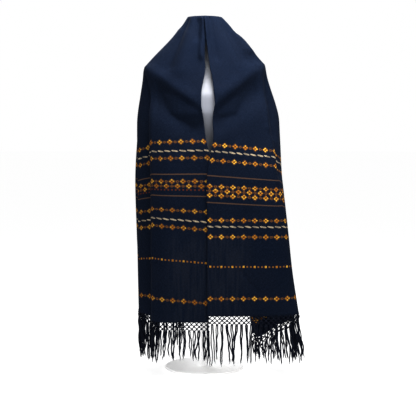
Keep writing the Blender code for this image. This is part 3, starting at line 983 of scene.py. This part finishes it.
def dot_row(graph, across, rise):
    """Bright dots at the motif pitch, with two dim dots between: (bright, dim)."""
    high = graph.near(graph.size(rise), 0.0034, 0.0014)
    beside = graph.size(offset_in_repeat(graph, across, MOTIF_PITCH, MOTIF_START))
    bright = graph.times(graph.near(beside, DOT_REACH, 0.0014), high)
    small = graph.size(offset_in_repeat(graph, across, MOTIF_PITCH / 3, MOTIF_START))
    low = graph.near(graph.size(rise), DIM_DOT_REACH, 0.0014)
    dim = graph.times(graph.near(small, DIM_DOT_REACH, 0.0012), low)
    return bright, dim


def woven_bands(graph, across, height, half):
    """Masks of the coloured yarns: gold, rust, dim orange, beige and brown."""
    masks = {"gold": [], "rust": [], "dim": [], "beige": [], "brown": []}
    for row in half.rows:
        rise = graph.math("SUBTRACT", height, row.height)
        if row.kind == "diamond":
            figure = diamond_row(graph, across, rise, row.shift)
            for name, mask in zip(("gold", "rust", "dim"), figure):
                masks[name].append(mask)
        elif row.kind == "twist":
            masks["beige"].append(twist_row(graph, across, rise, row.shift, half.sign))
        elif row.kind == "dots":
            bright, dim = dot_row(graph, across, rise)
            masks["gold"].append(bright)
            masks["dim"].append(dim)
        elif row.kind == "specks":
            masks["rust"].append(dot_row(graph, across, rise)[1])
        else:
            masks["brown"].append(graph.near(graph.size(rise), LINE_REACH, 0.0012))
    return {name: graph.largest(found) for name, found in masks.items()}


def web_material(name, half=None):
    """Matt navy cotton in plain weave, with the half's coloured yarns floated in rows across it."""
    material = bpy.data.materials.new(name)
    graph = Graph(material)
    across, height = graph.uv("weave")
    cloth = graph.vector(across, height)
    long_streaks = graph.noise(graph.vector(graph.times(across, 14.0), height), 9.0)
    cross_streaks = graph.noise(graph.vector(across, graph.times(height, 10.0)), 7.0)
    clouds = graph.noise(cloth, 6.0, 2.0)
    # Painted sheen: lighter streaks along the warp low on the front near the inner selvedge, where
    # light catches the cloth's gentle lengthwise folds. fade adds it to a random paler mottle.
    sheen_patch = graph.times(graph.near(across, 0.13, 0.06), graph.near(height, 0.27, 0.06))
    painted_sheen = graph.times(graph.ramp(long_streaks, 0.40, 0.60), sheen_patch)
    slubs = graph.noise(graph.vector(graph.times(across, 6.0), height), 130.0, 2.0)
    picks = graph.noise(graph.vector(across, graph.times(height, 6.0)), 130.0, 2.0)
    mottled = graph.math("MULTIPLY_ADD", cross_streaks, 0.35, graph.times(clouds, 0.55))
    fade = graph.math("MULTIPLY_ADD", painted_sheen, 0.95, graph.ramp(mottled, 0.32, 0.62, 0.0, 0.35))
    base = graph.mix(fade, NAVY, NAVY_PALER)
    yarns = graph.math("ADD", slubs, picks)
    base = graph.mix(graph.ramp(yarns, 1.0, 1.25, 0.0, 0.55), base, NAVY_LIGHT)
    base = graph.mix(graph.ramp(yarns, 0.98, 0.75, 0.0, 0.55), base, NAVY_DEEP)
    warp = graph.math("SINE", graph.times(across, 2 * math.pi / WARP_PITCH))
    weft = graph.math("SINE", graph.times(height, 2 * math.pi / WEFT_PITCH))
    threads = graph.times(warp, weft)
    relief = graph.math("MULTIPLY_ADD", long_streaks, 0.6, graph.times(threads, 0.25))
    if half:
        masks = woven_bands(graph, across, height, half)
        uneven = graph.noise(cloth, 55.0, 1.0)
        floats = graph.ramp(weft, -1.0, 1.0, 0.72, 1.0)
        # The bright yarns of the left half are dimmed by painted shade, as if that half were lit less
        # than the right.
        orange, golden = (tuple(c * half.brightness for c in dye) for dye in (ORANGE, GOLD))
        bright = graph.mix(graph.ramp(uneven, 0.42, 0.62), orange, golden)
        shaded = graph.mix(floats, tuple(0.35 * c for c in ORANGE), bright)
        base = graph.mix(graph.times(masks["brown"], 0.85), base, BROWN)
        base = graph.mix(graph.times(masks["dim"], 0.5), base, ORANGE)
        base = graph.mix(graph.times(masks["rust"], 0.8), base, RUST)
        base = graph.mix(masks["gold"], base, shaded)
        worn_cord = graph.times(masks["beige"], graph.ramp(uneven, 0.36, 0.60, 0.45, 1.0))
        base = graph.mix(worn_cord, base, BEIGE)
        raised = graph.math("MAXIMUM", masks["gold"], masks["beige"])
        relief = graph.math("MULTIPLY_ADD", raised, 0.9, relief)
    graph.wire(base, graph.shader.inputs["Base Color"])
    graph.bump(relief, 0.0005, 0.6)
    set_cotton_finish(graph.shader, roughness=0.85, specular=0.03)
    return material


def set_cotton_finish(shader, roughness, specular):
    """A matt finish with a very faint bluish nap."""
    shader.inputs["Roughness"].default_value = roughness
    shader.inputs["Specular IOR Level"].default_value = specular
    shader.inputs["Sheen Weight"].default_value = 0.006
    shader.inputs["Sheen Roughness"].default_value = 0.5
    shader.inputs["Sheen Tint"].default_value = (0.55, 0.65, 1.0, 1.0)


def strand_material():
    """Dark twisted cotton yarn."""
    material = bpy.data.materials.new("twisted_yarn")
    graph = Graph(material)
    around, along = graph.uv("strand")
    turned = graph.times(around, 2 * math.pi)
    turned = graph.math("MULTIPLY_ADD", along, 2 * math.pi / YARN_TWIST, turned)
    twist = graph.math("SINE", turned)
    patches = graph.noise(graph.place(), 60.0, 2.0)
    # The twist darkens the yarn in a faint spiral along its grooves, painted shade, over random paler
    # patches.
    groove_shade_and_patches = graph.math("MULTIPLY_ADD", twist, 0.18, patches)
    base = graph.mix(graph.ramp(groove_shade_and_patches, 0.3, 0.8), STRAND, NAVY_PALER)
    graph.wire(base, graph.shader.inputs["Base Color"])
    graph.bump(twist, 0.0004, 0.8)
    set_cotton_finish(graph.shader, roughness=0.8, specular=0.04)
    return material


def shell_material(name, tint, roughness, coat, painted_glow, rounding):
    """A pale moulded or painted surface with a faint grain, slight yellowing and soft edges, and a glow
    that is painted light.
    """
    material = bpy.data.materials.new(name)
    graph = Graph(material)
    clouds = graph.noise(graph.place(), 5.0)
    grain = graph.noise(graph.place(), 420.0, 2.0)
    aged = tuple(c * f for c, f in zip(tint, (0.97, 0.955, 0.92)))
    base = graph.mix(graph.ramp(clouds, 0.38, 0.66), tint, aged)
    graph.wire(base, graph.shader.inputs["Base Color"])
    matt = graph.ramp(grain, 0.3, 0.7, roughness - 0.05, roughness + 0.07)
    graph.wire(matt, graph.shader.inputs["Roughness"])
    rounded = graph.tree.nodes.new("ShaderNodeBevel")
    rounded.samples = 8
    rounded.inputs["Radius"].default_value = rounding
    graph.bump(grain, 0.0003, 0.25, rounded.outputs[0])
    graph.shader.inputs["Coat Weight"].default_value = coat
    graph.shader.inputs["Emission Color"].default_value = colour(WHITE)
    graph.shader.inputs["Emission Strength"].default_value = painted_glow
    return material


# ---- stage


def build_stage():
    """A pale floor, soft studio light and the camera."""
    scene = bpy.context.scene
    scene.view_settings.view_transform = "Standard"
    scene.view_settings.gamma = VIEW_GAMMA
    mesh = bpy.data.meshes.new("studio_floor")
    corners = ((-1, -1), (1, -1), (1, 1), (-1, 1))
    places = [(FLOOR_REACH * x, FLOOR_REACH * y, FLOOR_LEVEL) for x, y in corners]
    mesh.from_pydata(places, [], [(0, 1, 2, 3)])
    pale = bpy.data.materials.new("pale_floor")
    graph = Graph(pale)
    graph.shader.inputs["Base Color"].default_value = colour(FLOOR)
    graph.shader.inputs["Roughness"].default_value = 0.9
    graph.shader.inputs["Specular IOR Level"].default_value = 0.0
    graph.shader.inputs["Emission Color"].default_value = colour(WHITE)
    graph.shader.inputs["Emission Strength"].default_value = FLOOR_GLOW
    mesh.materials.append(pale)
    add_object("studio_floor", mesh)

    world = bpy.data.worlds.new("studio")
    scene.world = world
    world.use_nodes = True
    tree = world.node_tree
    direction = tree.nodes.new("ShaderNodeSeparateXYZ")
    tree.links.new(tree.nodes.new("ShaderNodeTexCoord").outputs["Generated"], direction.inputs[0])
    fade = tree.nodes.new("ShaderNodeMapRange")
    for value, target in zip((*HORIZON_FADE, 1.0, OVERHEAD_GLOW), fade.inputs[1:]):
        target.default_value = value
    tree.links.new(direction.outputs[2], fade.inputs[0])
    tree.links.new(fade.outputs[0], tree.nodes["Background"].inputs["Strength"])
    tree.nodes["Background"].inputs["Color"].default_value = colour(WHITE)

    add_light("key", (0.16, -0.46, 1.85), (0, -0.05, 0.95), 0.8, 42)
    add_light("back", (-0.25, 0.72, 1.85), (0, 0.05, 0.90), 0.7, 24)

    target = np.array(CAMERA_TARGET)
    away = np.array([0, -math.cos(CAMERA_ELEVATION), math.sin(CAMERA_ELEVATION)])
    camera = add_object("camera", bpy.data.cameras.new("camera"))
    camera.location = target + away * CAMERA_DISTANCE
    camera.rotation_euler = (math.pi / 2 - CAMERA_ELEVATION, 0, 0)
    camera.data.lens = CAMERA_LENS
    camera.data.sensor_width = 36
    scene.camera = camera


def add_light(name, place, target, size, power):
    """A round area light that faces its target."""
    data = bpy.data.lights.new(name, "AREA")
    data.shape = "DISK"
    data.size = size
    data.energy = power
    light = add_object(name, data)
    light.location = place
    light.rotation_mode = "QUATERNION"
    light.rotation_quaternion = (Vector(target) - Vector(place)).to_track_quat("-Z", "Y")


# ---- assembly


def dress_nodes():
    """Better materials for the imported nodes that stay."""
    # The form's colour is its off-white darkened by painted shade.
    shell = shell_material("form_shell", FORM_IN_PAINTED_SHADE, 0.55, coat=0.0, painted_glow=0.0, rounding=0.035)
    # The stand's paint glows a little: painted light that keeps its base, pole and cap as white as the
    # glowing floor.
    paint = shell_material("stand_paint", STAND, 0.32, coat=0.25, painted_glow=0.35, rounding=0.002)
    surfaces = {"form_torso": shell, "form_neck_cap": paint, "form_pole": paint, "form_base": paint}
    for node, surface in surfaces.items():
        mesh = frame["nodes"][node].data
        mesh.materials.clear()
        mesh.materials.append(surface)


def build_shawl():
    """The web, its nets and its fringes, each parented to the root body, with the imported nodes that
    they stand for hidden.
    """
    web, hems = build_web()
    for half in HALVES:
        web.data.materials.append(web_material(f"web_{half.name}_end", half))
    web.data.materials.append(web_material("web_middle"))
    yarn = strand_material()
    for seed, (half, hem) in enumerate(zip(HALVES, hems), start=11):
        rng = np.random.RandomState(seed)
        line = HemLine(half, hem)
        net = build_net(line, yarn, rng)
        fringe = build_fringe(line, yarn, rng)
        for piece, node in ((net, f"{half.name}_net"), (fringe, f"{half.name}_fringe")):
            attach(piece, "root")
            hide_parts(node)
    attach(web, "root")
    cloth_nodes = [f"shawl_{side}_{part}" for side in ("left", "right") for part in ("front", "return")]
    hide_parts("shawl_neck", *cloth_nodes)


dress_nodes()
build_shawl()
build_stage()
